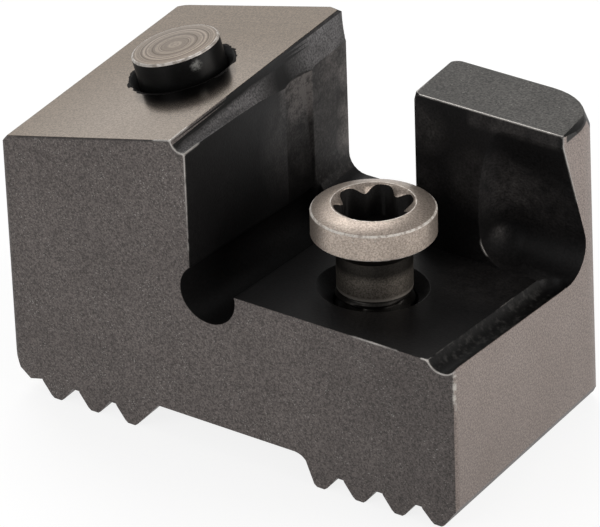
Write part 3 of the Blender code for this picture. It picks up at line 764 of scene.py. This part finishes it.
def dress_screw(node):
    """The screw with its worn rims, and with a real thread in place of its plain shank."""
    shape = cad_copy(node)
    local = axis_matrix(SCREW_AXIS, framed(*SCREW_FOOT))
    back = local.inverted()
    # Every face that lies below the neck is plain shank, which the thread replaces
    top = NECK_LOW + 0.02
    shank =[face for face in shape.faces if all((back @ v.co).z / MM < top for v in face.verts)]
    bmesh.ops.delete(shape, geom=shank, context="FACES")
    for face in shape.faces:
        face.material_index = screw_zone(face, back)
    for face in thread(shape, local):
        face.material_index = SHANK
    add_piece("screw_skin", shape, screw_materials(), "screw", "clamp_screw")


def pin_profile():
    """Radius and height of each ring of the pin, from the middle of its foot to the middle of its end."""
    profile = [
        (0.0, -PIN_SUNK),
        (PIN_RADIUS - PIN_CHAMFER, -PIN_SUNK),
        (PIN_RADIUS, PIN_CHAMFER - PIN_SUNK),
        (PIN_RADIUS, PIN_PROUD - PIN_RIM),
    ]
    for step in range(1, PIN_RIM_STEPS + 1):
        turn = math.pi / 2 * step / PIN_RIM_STEPS
        distance = PIN_RADIUS - PIN_RIM + PIN_RIM * math.cos(turn)
        height = PIN_PROUD - PIN_RIM + PIN_RIM * math.sin(turn)
        profile.append((distance, height))
    return profile + [(0.0, PIN_PROUD)]


# The finishes of the pin, in the order of its materials
FLANK, EDGE, END = range(3)


def pin_zone(index):
    """Which finish a band of the pin has, counted from its foot."""
    if index < PIN_PLAIN_STEPS:
        return FLANK
    return EDGE if index < PIN_PLAIN_STEPS + PIN_RIM_STEPS else END


def dress_pin(node):
    """The pin as a finely turned piece with a rounded rim, black on its side and bright on its end."""
    foot = framed(*PIN_FOOT)
    local = axis_matrix(PIN_AXIS, foot)
    shape = bmesh.new()
    rings = []
    for distance, height in pin_profile():
        points = circle(distance, height, PIN_SIDES if distance else 1)
        rings.append([shape.verts.new(local @ point) for point in points])
    for index, (low, high) in enumerate(zip(rings, rings[1:])):
        for side in range(PIN_SIDES):
            following = (side + 1) % PIN_SIDES
            if len(low) == 1:
                face = shape.faces.new((low[0], high[following], high[side]))
            elif len(high) == 1:
                face = shape.faces.new((low[side], low[following], high[0]))
            else:
                face = shape.faces.new((low[side], low[following], high[following], high[side]))
            face.material_index = pin_zone(index)
    bmesh.ops.recalc_face_normals(shape, faces=shape.faces)
    materials = [
        satin("pin_side_black", (0.004, 0.0039, 0.0038), 0.3, 0.0, grain=0.4, shine=0.15, touch=pin_touch),
        worn("pin_rim", (0.33, 0.29, 0.255), (0.58, 0.54, 0.5), 0.5),
        turned_face("pin_end", foot, PIN_AXIS),
    ]
    add_piece("pin_skin", shape, materials, "cassette", "locating_pin")


def area(name, place, size, power, colour=(1.0, 1.0, 1.0)):
    data = bpy.data.lights.new(name, "AREA")
    data.shape = "SQUARE"
    data.size = size
    data.energy = power
    data.color = colour
    lamp = bpy.data.objects.new(name, data)
    lamp.location = place
    lamp.rotation_euler = (LIGHT_TARGET - Vector(place)).to_track_quat("-Z", "Y").to_euler()
    bpy.context.scene.collection.objects.link(lamp)


def build_lights():
    area("key_back_left", (-0.31, 0.30, 0.16), 0.38, 0.4, WARM_WHITE)
    area("overhead", (-0.2, 0.17, 0.37), 0.24, 0.6)
    area("fill_right", (0.38, 0.10, 0.16), 0.3, 1.0, SOFT_WHITE)
    area("fill_front", (-0.12, -0.38, 0.22), 0.3, 0.5)
    world = bpy.data.worlds.new("studio")
    world.use_nodes = True
    background = world.node_tree.nodes["Background"]
    background.inputs["Color"].default_value = WHITE
    background.inputs["Strength"].default_value = WORLD_STRENGTH
    bpy.context.scene.world = world


def floor_material():
    """Pale, and mostly a white glow to the camera and to what reflects or passes light."""
    material = bpy.data.materials.new("pale_floor")
    material.use_nodes = True
    nodes = material.node_tree.nodes
    links = material.node_tree.links
    nodes.remove(nodes["Principled BSDF"])
    diffuse = nodes.new("ShaderNodeBsdfDiffuse")
    diffuse.inputs["Color"].default_value = FLOOR_GREY
    glow = nodes.new("ShaderNodeEmission")
    glow.inputs["Color"].default_value = WHITE
    glow.inputs["Strength"].default_value = FLOOR_GLOW
    path = nodes.new("ShaderNodeLightPath")
    seen = path.outputs["Is Camera Ray"]
    for ray in ("Is Glossy Ray", "Is Transmission Ray"):
        either = nodes.new("ShaderNodeMath")
        either.operation = "MAXIMUM"
        links.new(seen, either.inputs[0])
        links.new(path.outputs[ray], either.inputs[1])
        seen = either.outputs["Value"]
    share = nodes.new("ShaderNodeMath")
    share.operation = "MULTIPLY"
    share.inputs[1].default_value = FLOOR_GLOW_SHARE
    links.new(seen, share.inputs[0])
    blend = nodes.new("ShaderNodeMixShader")
    links.new(share.outputs["Value"], blend.inputs["Fac"])
    links.new(diffuse.outputs["BSDF"], blend.inputs[1])
    links.new(glow.outputs["Emission"], blend.inputs[2])
    links.new(blend.outputs["Shader"], nodes["Material Output"].inputs["Surface"])
    return material


def build_floor():
    bpy.ops.mesh.primitive_plane_add(size=FLOOR_SIZE, location=(0.0, 0.0, 0.0))
    floor = bpy.context.object
    floor.name = "studio_floor"
    floor.data.materials.append(floor_material())


def build_camera():
    data = bpy.data.cameras.new("camera")
    data.sensor_fit = "HORIZONTAL"
    data.sensor_width = CAMERA_SENSOR
    data.lens = CAMERA_LENS
    data.clip_start = 0.02
    data.clip_end = 20.0
    camera = bpy.data.objects.new("camera", data)
    right = Vector(CAMERA_RIGHT)
    up = Vector(CAMERA_UP)
    turn = Matrix((right, up, right.cross(up))).transposed().to_4x4()
    camera.matrix_world = Matrix.Translation(CAMERA_PLACE) @ turn
    bpy.context.scene.collection.objects.link(camera)
    bpy.context.scene.camera = camera


clear_scene()
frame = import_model()
bpy.context.scene.view_settings.view_transform = "Standard"
dress_body(frame["nodes"]["cassette_body"])
dress_screw(frame["nodes"]["clamp_screw"])
dress_pin(frame["nodes"]["locating_pin"])
build_floor()
build_lights()
build_camera()
